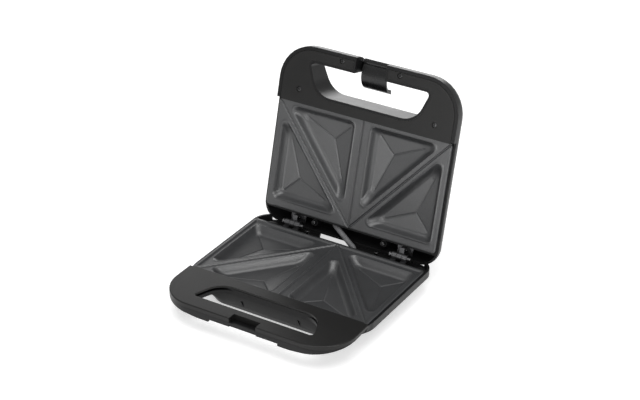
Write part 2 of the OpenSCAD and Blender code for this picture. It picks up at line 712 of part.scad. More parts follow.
module lower_hinge_left() lower_hinge(-1);

module lower_hinge_right() lower_hinge(1);

// The lid's leaf is the same piece turned over about the axis's level
module upper_hinge(s) color("silver") at_lid() translate([s * hinge_x, 0, axis_h])
    mirror([0, 0, 1]) translate([0, 0, axis_drop]) hinge_leaf([knuckle_mid]);

module upper_hinge_left() upper_hinge(-1);

module upper_hinge_right() upper_hinge(1);

module hinge_pin(s) color("silver") at_base() translate([s * hinge_x, axis_y, -axis_drop])
    rotate([0, 90, 0]) {
        translate([0, 0, knuckle_in[0] - 1.8]) cylinder(r = hinge_pin_r, h = 26);
        translate([0, 0, knuckle_in[0] - 3.3]) cylinder(r = hinge_pin_r + 1.2, h = 1.5 + eps);
    }

module hinge_pin_left() hinge_pin(-1);

module hinge_pin_right() hinge_pin(1);

module lower_hinge_screws() color("silver") at_base() for (s = [-1, 1])
    translate([s * hinge_x, hinge_screw_y, -leaf_depth + hinge_t]) screw(8);

lid_leaf_h = axis_h - axis_drop + leaf_depth;

module upper_hinge_screws() color("silver") at_lid() for (s = [-1, 1])
    translate([s * hinge_x, hinge_screw_y, lid_leaf_h - hinge_t]) rotate([180, 0, 0])
        screw(8);

// ---- lid ----

module upper_housing() color("dimgray") at_lid() difference() {
    shell_body(lid_layers);
    difference() {
        union() {
            shell_hollow([for (l = lid_layers) l[0] < 0 ? [lip_h - 1, l[1], l[2], l[3], l[4],
                l[5], 0] : l]);
            translate([0, 0, -5]) linear_extrude(5.5 + edge_drop)
                handle_outline(face_inset, -plate_d - 0.4);
        }
        seat_frame(lip_h, edge_drop + ledge_t);
        block([-big, big], [0.2, wall + 0.2], [lip_h, big]);
        translate([0, 0, -upper_face]) linear_extrude(big) opening_outline(wall);
        for (p = cover_screws_upper) mirrored()
            boss(p[0], p[1], cover_t - upper_face + seat_gap, big, 4);
        for (s = [-1, 1]) {
            boss(s * tab_x, tab_y, plate_back + 0.1, big, 4);
            boss(s * hinge_x, hinge_screw_y, lid_leaf_h + 0.1, big, 4.8);
        }
        block([-slot_w / 2 - wall, slot_w / 2 + wall], [front_y + 1, open_front + 1],
            [-upper_face, big]);
    }
    translate([0, 0, -big / 2]) linear_extrude(big) opening_outline();
    // The plate's recess, beside the handle's lower face
    block([-big, big], [-plate_d - 0.4, big], [-big, lip_h]);
    translate([0, 0, -5]) linear_extrude(5 + edge_drop) plate_outline(-0.3);
    tab_room(-5, plate_back + 0.1);
    // Slot of the latch and the bores of its pin
    difference() {
        block([-slot_w / 2, slot_w / 2], [front_y - 1, open_front + 4], [-big, slot_depth]);
        // The rib that the latch hangs against
        block([-12, 12], [pivot_y + stop_y, pivot_y + stop_y + 1.5], [stop_h, big]);
    }
    translate([-slot_w / 2 - wall + 0.4, pivot_y, pivot_h]) rotate([0, 90, 0])
        cylinder(r = latch_pin_r + run_gap, h = slot_w + 2 * wall - 0.8);
    for (p = cover_screws_upper) mirrored()
        hole(p[0], p[1], -5, 12, screw_r + run_gap);
    for (s = [-1, 1]) {
        hole(s * hinge_x, hinge_screw_y, -5, lid_leaf_h + 8, screw_r + run_gap);
        hole(s * tab_x, tab_y, -5, plate_back + 12, screw_r + run_gap);
        hole(s * lens_x, lens_y, lid_h - 5, big, lens_r + 0.1);
    }
    translate([-22.6, -6, 10.6]) rotate([-90, 0, 0]) cylinder(r = 6.6, h = 9.5);
}

module upper_handle_cover() color([0.25, 0.25, 0.25]) at_lid() difference() {
    union() {
        translate([0, 0, -upper_face]) linear_extrude(cover_t)
            handle_outline(face_inset + 0.4, -plate_d - 0.6);
        block([-plate_x + 3, plate_x - 3], [-plate_d - 1, -plate_d + 1],
            [-upper_face, -seat_gap]);
    }
    translate([0, 0, -big / 2]) linear_extrude(big) opening_outline(wall + 0.2);
    block([-slot_w / 2 - wall - 0.2, slot_w / 2 + wall + 0.2], [front_y - 1, open_front + 4],
        [-big, big]);
    for (p = cover_screws_upper) mirrored() {
        hole(p[0], p[1], -5, 5, screw_r + 0.3);
        hole(p[0], p[1], -5, -upper_face + 1.6, screw_head_r + 0.4);
    }
}

// The upper plate is turned over, with engraved cutting lines instead of ridges
module upper_plate() color([0.22, 0.23, 0.25]) at_lid() mirror([0, 0, 1]) difference() {
    cooking_plate(0);
    cutting_lines(2.4, -1.2, 0);
    translate([0, 0, -0.7]) linear_extrude(2) difference() {
        plate_outline(rim_w);
        plate_outline(rim_w + 1.2);
    }
}

module upper_heater() color("silver") at_lid() translate([0, 0, heater_z - land_drop]) heater();

module upper_heat_shield() color("lightgray") at_lid()
    translate([0, 0, shield_z - land_drop]) heat_shield();

module upper_shield_screws() color("silver") at_lid() mirror([0, 0, 1])
    translate([0, 0, land_drop]) shield_screws();

module upper_plate_screws() color("silver") at_lid() mirror([0, 0, 1]) plate_screws();

module upper_cover_screws() color("silver") at_lid() for (p = cover_screws_upper) mirrored()
    translate([p[0], p[1], -upper_face + 1.6]) rotate([180, 0, 0]) screw(10, 1.2);

module thermostat() color("ivory") at_lid() translate([0, -15, plate_back - land_drop + 0.1]) {
    cylinder(r = 7.5, h = 6);
    translate([0, 0, 6 - eps]) cylinder(r = 5, h = 3);
    for (s = [-1, 1]) block([s * 4 - 0.4, s * 4 + 0.4], [-2, 2], [6, 12]);
}

module indicator_lenses() color("red") at_lid() for (s = [-1, 1])
    translate([s * lens_x, lens_y, lid_h - wall - 1.5]) {
        cylinder(r = lens_r, h = wall + 1.5 + 0.3);
        cylinder(r = lens_r + 1, h = 1.2);
    }

module indicator_lamps() color("orange") at_lid() for (s = [-1, 1])
    translate([s * lens_x, lens_y, lid_h - wall - 1.8 - 6]) {
        cylinder(r = 2.5, h = 4);
        translate([0, 0, 3.5]) sphere(r = 2.5);
    }

// The latch in its own frame: its pin's axis is the origin and its hook hangs below
module latch_solid() rotate([90, 0, 90]) linear_extrude(latch_w, center = true) {
    difference() {
        union() {
            circle(r = latch_knuckle_r);
            difference() {
                translate([bow_y, bow_z]) circle(r = latch_bow_r, $fn = 96);
                translate([bow_y, bow_z]) circle(r = latch_bow_r - latch_t, $fn = 96);
                translate([0.5, hook_top]) square([big, big]);
                translate([hook_reach, -big]) square([big, 2 * big]);
            }
            intersection() {
                translate([-4, hook_top - hook_h]) square([hook_reach + 4, hook_h]);
                translate([bow_y, bow_z]) circle(r = latch_bow_r, $fn = 96);
            }
        }
        circle(r = latch_pin_r + run_gap);
    }
}

module latch() color("black") at_lid() translate([0, pivot_y, pivot_h])
    rotate([open_angle, 0, 0]) latch_solid();

module latch_pin() color("silver") at_lid()
    translate([-slot_w / 2 - wall + 0.6, pivot_y, pivot_h]) rotate([0, 90, 0])
        cylinder(r = latch_pin_r, h = slot_w + 2 * wall - 1.2);

lower_housing();
lower_handle_cover();
lower_plate();
lower_heater();
lower_heat_shield();
lower_shield_screws();
lower_plate_screws();
lower_cover_screws();
rubber_feet();
thermal_fuse();
terminal_block();
cord_gland();
sleeve_clamp();
wire_sleeve();
lower_hinge_left();
lower_hinge_right();
lower_hinge_screws();
hinge_pin_left();
hinge_pin_right();
upper_hinge_left();
upper_hinge_right();
upper_hinge_screws();
upper_housing();
upper_handle_cover();
upper_plate();
upper_heater();
upper_heat_shield();
upper_shield_screws();
upper_plate_screws();
upper_cover_screws();
thermostat();
indicator_lenses();
indicator_lamps();
latch();
latch_pin();
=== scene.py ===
"""Dresses the packed sandwich toaster: its pieces, finishes, floor, light and camera.

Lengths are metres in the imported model's frame. The cooking plates are worked out in
millimetres on their own face, with the origin at the middle of their rear edge and -Y
towards the handles, and are then set into the base or the lid.
"""

from __future__ import annotations

import json
import logging
import math
from contextlib import contextmanager
from dataclasses import dataclass, field
from enum import Enum
from typing import Iterator, Optional, Sequence

import bmesh
import bpy
import numpy as np
from mathutils import Matrix, Vector

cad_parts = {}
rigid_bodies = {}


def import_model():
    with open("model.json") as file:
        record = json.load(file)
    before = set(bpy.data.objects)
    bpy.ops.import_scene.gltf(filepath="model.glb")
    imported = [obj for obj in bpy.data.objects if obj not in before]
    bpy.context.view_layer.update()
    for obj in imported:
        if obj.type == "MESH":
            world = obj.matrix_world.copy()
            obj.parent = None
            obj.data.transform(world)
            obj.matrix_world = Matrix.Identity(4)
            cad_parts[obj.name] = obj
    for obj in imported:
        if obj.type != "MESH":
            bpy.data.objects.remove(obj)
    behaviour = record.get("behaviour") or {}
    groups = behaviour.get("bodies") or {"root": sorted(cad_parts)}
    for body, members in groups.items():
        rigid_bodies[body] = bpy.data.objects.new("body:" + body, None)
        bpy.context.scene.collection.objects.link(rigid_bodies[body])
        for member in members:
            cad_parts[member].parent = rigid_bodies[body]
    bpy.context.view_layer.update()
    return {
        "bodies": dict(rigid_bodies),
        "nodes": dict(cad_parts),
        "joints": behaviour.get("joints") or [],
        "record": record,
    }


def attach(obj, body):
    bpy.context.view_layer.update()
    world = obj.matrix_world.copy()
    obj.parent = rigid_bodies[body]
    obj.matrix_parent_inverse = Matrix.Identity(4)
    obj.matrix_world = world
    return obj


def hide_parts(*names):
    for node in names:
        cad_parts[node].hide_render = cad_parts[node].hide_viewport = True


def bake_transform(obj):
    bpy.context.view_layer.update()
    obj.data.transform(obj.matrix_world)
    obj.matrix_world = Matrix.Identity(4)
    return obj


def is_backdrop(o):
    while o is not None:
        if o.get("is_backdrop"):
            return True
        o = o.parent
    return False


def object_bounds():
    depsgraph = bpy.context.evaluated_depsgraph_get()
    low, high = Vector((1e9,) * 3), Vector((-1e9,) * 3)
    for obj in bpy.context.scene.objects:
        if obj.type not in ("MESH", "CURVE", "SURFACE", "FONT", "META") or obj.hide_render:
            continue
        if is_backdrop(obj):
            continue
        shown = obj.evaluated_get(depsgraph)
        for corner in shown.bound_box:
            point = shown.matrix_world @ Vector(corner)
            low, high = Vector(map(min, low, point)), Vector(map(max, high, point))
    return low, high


LOG = logging.getLogger("toaster")

MM = 0.001
Colour = tuple[float, float, float]
Flat = tuple[float, float]
Point = tuple[float, float, float]
Socket = bpy.types.NodeSocket
Piece = bpy.types.Object


class Body(Enum):
    """The rigid bodies that the pieces ride on."""

    BASE = "base"
    LID = "lid"
    LATCH = "latch"


# ---- where things are


@dataclass(frozen=True)
class Layout:
    """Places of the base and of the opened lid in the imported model's frame.

    Args:
        rim: height of the lower plate's rim above the table.
        middle: the cooking plates' own Y at the model's origin.
        axis_y: hinge axis behind the plates' rear edge.
        axis_drop: hinge axis below the lower plate's rim.
        gap: distance between the plates' faces when shut.
        opening: angle of the opened lid in degrees.
    """

    rim: float = 33.0
    middle: float = -53.4067
    axis_y: float = 13.2
    axis_drop: float = 1.2
    gap: float = 4.0
    opening: float = 105.0

    def base(self) -> Matrix:
        """Returns the matrix from the base's own millimetres to the model's metres."""
        shift = Matrix.Translation(Vector((0.0, -self.middle, self.rim)))
        return Matrix.Scale(MM, 4) @ shift

    def lid(self) -> Matrix:
        """Returns the matrix from the lid's own millimetres to the model's metres."""
        rise = self.gap + self.axis_drop
        to_axis = Matrix.Translation(Vector((0.0, -self.axis_y, rise)))
        turn = Matrix.Rotation(math.radians(-self.opening), 4, "X")
        back = Matrix.Translation(
            Vector((0.0, self.axis_y - self.middle, self.rim - self.axis_drop))
        )
        return Matrix.Scale(MM, 4) @ back @ turn @ to_axis


LAYOUT = Layout()


# ---- node helpers


class Tree:
    """A small builder for shader node trees."""

    def __init__(self, tree: bpy.types.NodeTree) -> None:
        """Keeps the tree that nodes are added to."""
        self.tree = tree

    def add(self, kind: str, **values: object) -> bpy.types.Node:
        """Adds a node and sets its properties.

        Args:
            kind: Blender's name of the node type.
            **values: properties to set on the node.

        Returns:
            The new node.
        """
        node = self.tree.nodes.new(kind)
        for key, value in values.items():
            setattr(node, key, value)
        return node

    def link(self, source: Socket, target: Socket) -> None:
        """Joins two sockets."""
        self.tree.links.new(source, target)

    def feed(self, target: Socket, value: Socket | float) -> None:
        """Joins a socket to another one, or sets it to a number."""
        if isinstance(value, (int, float)):
            target.default_value = float(value)
        else:
            self.link(value, target)

    def noise(self, vector: Socket, scale: Socket | float, detail: float = 2.0,
              rough: float = 0.5) -> Socket:
        """Adds a noise texture.

        Args:
            vector: coordinates to read.
            scale: number of features per metre.
            detail: octaves of the noise.
            rough: weight of the finer octaves.

        Returns:
            The noise's value.
        """
        node = self.add("ShaderNodeTexNoise")
        self.link(vector, node.inputs["Vector"])
        for name, value in (("Scale", scale), ("Detail", detail), ("Roughness", rough)):
            self.feed(node.inputs[name], value)
        return node.outputs["Fac"]

    def spread(self, value: Socket, low: float, high: float, to_low: float,
               to_high: float) -> Socket:
        """Maps a value from one range onto another.

        Args:
            value: socket to read.
            low, high: the range that is read.
            to_low, to_high: the results at its ends.

        Returns:
            The mapped value.
        """
        node = self.add("ShaderNodeMapRange")
        for name, number in (("Value", value), ("From Min", low), ("From Max", high),
                             ("To Min", to_low), ("To Max", to_high)):
            self.feed(node.inputs[name], number)
        return node.outputs["Result"]

    def maths(self, operation: str, first: Socket, second: Socket | float = 0.0) -> Socket:
        """Adds a Math node.

        Args:
            operation: the Math node's operation.
            first, second: its values. Some operations take only the first.

        Returns:
            The result.
        """
        node = self.add("ShaderNodeMath", operation=operation)
        self.feed(node.inputs[0], first)
        self.feed(node.inputs[1], second)
        return node.outputs[0]

    def mix(self, first: Colour, second: Colour, share: Socket) -> Socket:
        """Blends two colours.

        Args:
            first, second: the two colours.
            share: how much of the second one shows.

        Returns:
            The blended colour.
        """
        node = self.add("ShaderNodeMix", data_type="RGBA")
        node.inputs["A"].default_value = (*first, 1.0)
        node.inputs["B"].default_value = (*second, 1.0)
        self.link(share, node.inputs["Factor"])
        return node.outputs["Result"]

    def bump(self, height: Socket, strength: Socket | float, distance: float) -> Socket:
        """Turns a height into a normal.

        Args:
            height: socket to read.
            strength: share of the full relief.
            distance: the full relief in metres.

        Returns:
            The normal.
        """
        node = self.add("ShaderNodeBump")
        for name, value in (("Height", height), ("Strength", strength),
                            ("Distance", distance)):
            self.feed(node.inputs[name], value)
        return node.outputs["Normal"]


class GroupLibrary:
    """Shader node groups that several finishes share, each made once."""

    @staticmethod
    def _start(name: str, floats: Sequence[tuple[str, float]],
               outs: Sequence[tuple[str, str]]) -> tuple[Tree, bpy.types.Node, bpy.types.Node]:
        """Makes an empty group.

        Args:
            name: its name.
            floats: names and defaults of its number inputs.
            outs: names and socket types of its outputs.

        Returns:
            The tree's builder, its input node and its output node.
        """
        group = bpy.data.node_groups.new(name, "ShaderNodeTree")
        for label, value in floats:
            socket = group.interface.new_socket(
                name=label, in_out="INPUT", socket_type="NodeSocketFloat")
            socket.default_value = value
        for label, kind in outs:
            group.interface.new_socket(name=label, in_out="OUTPUT", socket_type=kind)
        tree = Tree(group)
        return tree, tree.add("NodeGroupInput"), tree.add("NodeGroupOutput")

    @classmethod
    def moulded_grain(cls) -> bpy.types.NodeTree:
        """Returns the fine pebble of a moulded or coated skin, as a normal and a mask."""
        if made := bpy.data.node_groups.get("moulded grain"):
            return made
        tree, inputs, outputs = cls._start(
            "moulded grain", (("Grains", 1500.0), ("Depth", 0.1)),
            (("Normal", "NodeSocketVector"), ("Mask", "NodeSocketFloat")))
        place = tree.add("ShaderNodeTexCoord").outputs["Object"]
        grain = tree.noise(place, inputs.outputs["Grains"], 3.0, 0.55)
        normal = tree.bump(grain, inputs.outputs["Depth"], 0.0002)
        tree.link(normal, outputs.inputs["Normal"])
        tree.link(grain, outputs.inputs["Mask"])
        return tree.tree

    @classmethod
    def handling(cls) -> bpy.types.NodeTree:
        """Returns broad smudges and faint dust, as a mask from 0 to 1."""
        if made := bpy.data.node_groups.get("handling marks"):
            return made
        tree, inputs, outputs = cls._start(
            "handling marks", (("Patches", 18.0),), (("Mask", "NodeSocketFloat"),))
        place = tree.add("ShaderNodeTexCoord").outputs["Object"]
        broad = tree.noise(place, inputs.outputs["Patches"], 5.0, 0.62)
        tree.link(tree.spread(broad, 0.35, 0.72, 0.0, 1.0), outputs.inputs["Mask"])
        return tree.tree


# ---- finishes


def plain_material(name: str, colour: Colour) -> tuple[bpy.types.Material, Tree, bpy.types.Node]:
    """Makes a material with a Principled BSDF.

    Args:
        name: the material's name.
        colour: its colour in a plain view.

    Returns:
        The material, its tree's builder and its shader.
    """
    material = bpy.data.materials.new(name)
    material.use_nodes = True
    material.diffuse_color = (*colour, 1.0)
    return material, Tree(material.node_tree), material.node_tree.nodes["Principled BSDF"]


@dataclass(frozen=True)
class Skin:
    """A grained skin of moulded plastic, rubber or baked coating.

    Args:
        name: the material's name.
        colour: main colour.
        second: colour of the speckle or of the handled patches.
        rough: mean roughness.
        rough_spread: how far roughness drifts over the surface.
        grains: grains per metre of the fine texture.
        depth: strength of the fine texture.
        speckle: share of the second colour that the grains show.
        level: specular level.
        coat: weight of a clear coat.
    """

    name: str
    colour: Colour
    second: Colour
    rough: float = 0.45
    rough_spread: float = 0.08
    grains: float = 1800.0
    depth: float = 0.12
    speckle: float = 0.0
    level: float = 0.5
    coat: float = 0.0

    def make(self) -> bpy.types.Material:
        """Makes the material."""
        material, tree, shader = plain_material(self.name, self.colour)
        grain = tree.add("ShaderNodeGroup", node_tree=GroupLibrary.moulded_grain())
        grain.inputs["Grains"].default_value = self.grains
        grain.inputs["Depth"].default_value = self.depth
        marks = tree.add("ShaderNodeGroup", node_tree=GroupLibrary.handling()).outputs["Mask"]
        flecks = tree.spread(grain.outputs["Mask"], 0.5, 0.72, 0.0, self.speckle)
        share = tree.maths("MAXIMUM", flecks, tree.maths("MULTIPLY", marks, 0.25))
        tree.link(tree.mix(self.colour, self.second, share), shader.inputs["Base Color"])
        rough = tree.spread(marks, 0.0, 1.0, self.rough, self.rough + self.rough_spread)
        tree.link(rough, shader.inputs["Roughness"])
        tree.link(grain.outputs["Normal"], shader.inputs["Normal"])
        shader.inputs["Specular IOR Level"].default_value = self.level
        shader.inputs["Coat Weight"].default_value = self.coat
        return material


@dataclass(frozen=True)
class Metal:
    """Bare or plated metal with fine brushing along one axis.

    Args:
        name: the material's name.
        colour: reflected colour.
        rough: mean roughness.
        brush: brush lines per metre across their direction.
        stretch: how much longer than wide the brush lines are, per axis.
        depth: strength of the brushing.
        patches: handled patches per metre.
        wear: how dark the patches are, and how much of them shows.
    """

    name: str
    colour: Colour
    rough: float = 0.35
    brush: float = 2500.0
    stretch: Point = (0.05, 1.0, 1.0)
    depth: float = 0.08
    patches: float = 60.0
    wear: float = 0.6

    def make(self) -> bpy.types.Material:
        """Makes the material."""
        material, tree, shader = plain_material(self.name, self.colour)
        mapping = tree.add("ShaderNodeMapping")
        mapping.inputs["Scale"].default_value = self.stretch
        tree.link(tree.add("ShaderNodeTexCoord").outputs["Object"], mapping.inputs["Vector"])
        lines = tree.noise(mapping.outputs["Vector"], self.brush)
        marks = tree.add("ShaderNodeGroup", node_tree=GroupLibrary.handling())
        marks.inputs["Patches"].default_value = self.patches
        worn = tuple(self.wear * c for c in self.colour)
        share = tree.maths("MULTIPLY", marks.outputs["Mask"], self.wear)
        tree.link(tree.mix(self.colour, worn, share), shader.inputs["Base Color"])
        rough = tree.spread(lines, 0.3, 0.7, self.rough - 0.06, self.rough + 0.1)
        tree.link(rough, shader.inputs["Roughness"])
        tree.link(tree.bump(lines, self.depth, 0.0001), shader.inputs["Normal"])
        shader.inputs["Metallic"].default_value = 1.0
        return material


@dataclass(frozen=True)
class Braid:
    """Woven sleeving, whose threads follow the tube's own UV map.

    Args:
        name: the material's name.
        colour: colour of the threads.
        gap_colour: colour between the threads.
        around: threads around the tube.
        along: crossings along the tube.
    """

    name: str
    colour: Colour
    gap_colour: Colour
    around: float = 12.0
    along: float = 30.0

    def make(self) -> bpy.types.Material:
        """Makes the material."""
        material, tree, shader = plain_material(self.name, self.colour)
        split = tree.add("ShaderNodeSeparateXYZ")
        tree.link(tree.add("ShaderNodeTexCoord").outputs["UV"], split.inputs["Vector"])
        along = tree.maths("MULTIPLY", split.outputs["X"], self.along * 2 * math.pi)
        around = tree.maths("MULTIPLY", split.outputs["Y"], self.around * 2 * math.pi)
        one, two = (tree.maths("SINE", tree.maths(way, along, around))
                    for way in ("ADD", "SUBTRACT"))
        weave = tree.maths("MAXIMUM", one, two)
        share = tree.spread(weave, -0.6, 0.9, 0.0, 1.0)
        tree.link(tree.mix(self.gap_colour, self.colour, share), shader.inputs["Base Color"])
        tree.link(tree.bump(weave, 0.5, 0.0003), shader.inputs["Normal"])
        shader.inputs["Roughness"].default_value = 0.6
        return material


class Finishes:
    """Every finish of the toaster, by what it covers."""

    HOUSING = Skin("housing plastic", (0.0060, 0.0060, 0.0062), (0.010, 0.010, 0.0105),
                   rough=0.33, grains=1600.0, depth=0.12, level=0.25)
    COVER = Skin("handle plastic", (0.0080, 0.0078, 0.0076), (0.013, 0.0127, 0.0122),
                 rough=0.33, grains=2000.0, depth=0.08, level=0.30)
    COATING = Skin("non-stick coating", (0.016, 0.0165, 0.0175), (0.060, 0.062, 0.065),
                   rough=0.40, rough_spread=0.05, grains=1400.0, depth=0.30, speckle=0.55,
                   level=1.0)
    LATCH = Skin("latch plastic", (0.0060, 0.0060, 0.0062), (0.010, 0.010, 0.0105),
                 rough=0.26, grains=2400.0, depth=0.05, level=0.46)
    RUBBER = Skin("foot rubber", (0.018, 0.018, 0.018), (0.03, 0.03, 0.03),
                  rough=0.72, grains=900.0, depth=0.2, level=0.3)
    CERAMIC = Skin("glazed ceramic", (0.62, 0.60, 0.55), (0.5, 0.48, 0.42),
                   rough=0.3, grains=700.0, depth=0.06)
    TERMINAL = Skin("terminal plastic", (0.55, 0.53, 0.47), (0.45, 0.43, 0.38),
                    rough=0.45, grains=1200.0, depth=0.1)
    LENS = Skin("indicator lens", (0.45, 0.02, 0.015), (0.5, 0.05, 0.03),
                rough=0.12, rough_spread=0.03, grains=600.0, depth=0.02, coat=0.4)
    LAMP = Skin("lamp glass", (0.7, 0.35, 0.12), (0.6, 0.3, 0.1),
                rough=0.15, grains=600.0, depth=0.02)
    STEEL = Metal("hinge steel", (0.15, 0.15, 0.155), 0.36)
    PIN = Metal("pin steel", (0.26, 0.26, 0.265), 0.28)
    # The screws' steel is darkened to near black as painted shade, standing in for the shade
    # inside their recesses.
    SCREW = Metal("screw steel with painted recess shade", (0.07, 0.07, 0.071), 0.24)
    HEATER = Metal("tube steel", (0.30, 0.27, 0.25), 0.5)
    SHIELD = Metal("shield sheet", (0.72, 0.73, 0.75), 0.28, stretch=(1.0, 0.05, 1.0))
    SLEEVE = Braid("glass-fibre sleeving", (0.15, 0.15, 0.155), (0.04, 0.04, 0.042))


# ---- mesh helpers


def add_object(name: str, data: bpy.types.ID) -> Piece:
    """Adds an object that holds the given data to the scene."""
    made = bpy.data.objects.new(name, data)
    bpy.context.scene.collection.objects.link(made)
    return made


def pick(piece: Piece) -> None:
    """Makes one object the only selected and the active one."""
    bpy.ops.object.select_all(action="DESELECT")
    piece.select_set(True)
    bpy.context.view_layer.objects.active = piece


@contextmanager
def editing(piece: Piece) -> Iterator[None]:
    """Keeps a piece in edit mode, with all of it selected at first."""
    pick(piece)
    bpy.ops.object.mode_set(mode="EDIT")
    bpy.ops.mesh.select_all(action="SELECT")
    yield
    bpy.ops.object.mode_set(mode="OBJECT")


def finish_mesh(piece: Piece, angle: float = 35.0) -> None:
    """Applies the modifiers of a piece and shades it smooth up to an angle.

    Args:
        piece: the object.
        angle: edges sharper than this many degrees stay sharp.
    """
    pick(piece)
    for modifier in list(piece.modifiers):
        bpy.ops.object.modifier_apply(modifier=modifier.name)
    bpy.ops.object.shade_smooth_by_angle(angle=math.radians(angle))


def dress(piece: Piece, finish: Skin | Metal | Braid) -> None:
    """Gives a piece one material in all its slots."""
    material = bpy.data.materials.get(finish.name) or finish.make()
    if not piece.data.materials:
        piece.data.materials.append(material)
    for index in range(len(piece.data.materials)):
        piece.data.materials[index] = material


@dataclass
class Refined:
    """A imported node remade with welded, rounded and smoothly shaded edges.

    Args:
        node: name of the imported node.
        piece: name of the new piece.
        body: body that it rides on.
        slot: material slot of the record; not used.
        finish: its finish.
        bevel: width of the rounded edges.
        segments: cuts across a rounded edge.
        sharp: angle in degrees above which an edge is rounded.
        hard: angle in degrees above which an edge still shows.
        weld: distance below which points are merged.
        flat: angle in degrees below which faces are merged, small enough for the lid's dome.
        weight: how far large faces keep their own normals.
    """

    node: str
    piece: str
    body: Body
    slot: str
    finish: Skin | Metal | Braid
    bevel: float = 0.4 * MM
    segments: int = 2
    sharp: float = 32.0
    hard: float = 40.0
    weld: float = 0.002 * MM
    flat: float = 0.02
    weight: int = 60

    def build(self, frame: dict) -> Piece:
        """Builds the piece in place of its node.

        Args:
            frame: the loaded model.

        Returns:
            The new piece.
        """
        piece = add_object(self.piece, frame["nodes"][self.node].data.copy())
        piece.data.name = self.piece
        with editing(piece):
            bpy.ops.mesh.customdata_custom_splitnormals_clear()
            bpy.ops.mesh.remove_doubles(threshold=self.weld)
            bpy.ops.mesh.dissolve_limited(angle_limit=math.radians(self.flat))
        bevel = piece.modifiers.new("rounded edges", "BEVEL")
        bevel.limit_method = "ANGLE"
        bevel.angle_limit = math.radians(self.sharp)
        bevel.width = self.bevel
        bevel.segments = self.segments
        bevel.use_clamp_overlap = True
        faces = piece.modifiers.new("plain faces", "TRIANGULATE")
        faces.min_vertices = 5
        finish_mesh(piece, self.hard)
        weighted = piece.modifiers.new("flat faces first", "WEIGHTED_NORMAL")
        weighted.keep_sharp = True
        weighted.weight = self.weight
        bpy.ops.object.modifier_apply(modifier=weighted.name)
        dress(piece, self.finish)
        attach(piece, self.body.value)
        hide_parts(self.node)
        LOG.info("%s stands for %s", piece.name, self.node)
        return piece


# ---- cooking plates


class Face(Enum):
    """The two cooking plates, which differ in their rim and cutting lines."""

    LOWER = "lower"
    UPPER = "upper"


@dataclass(frozen=True)
class Profile:
    """A section, as heights at rising distances across it."""

    at: tuple[float, ...]
    high: tuple[float, ...]

    def read(self, across: np.ndarray) -> np.ndarray:
        """Returns the height at each distance."""
        return np.interp(across, self.at, self.high)


# Millimetres from the middle of a cutting line, from the rim's inner edge and from the plate's
# outer edge, and shares of a hollow's sloped wall.
RIDGE = Profile((0.4, 0.8, 1.3, 1.7), (1.5, 1.2, 0.15, 0.0))
GROOVE = Profile((0.3, 0.75, 1.25), (1.5, 1.2, 0.0))
RIM = Profile((-0.5, 0.0, 0.8, 1.3), (1.0, 0.9, 0.1, 0.0))
EDGE = Profile((0.0, 0.5, 0.9), (0.5, 0.12, 0.0))
WALL = Profile((-0.06, 0.0, 0.06, 0.14, 0.26, 0.4, 0.54, 0.68, 0.84, 1.0),
               (0.0, 0.015, 0.07, 0.2, 0.42, 0.64, 0.80, 0.91, 0.98, 1.0))
BEAD = {Face.LOWER: 0.2, Face.UPPER: 0.35}


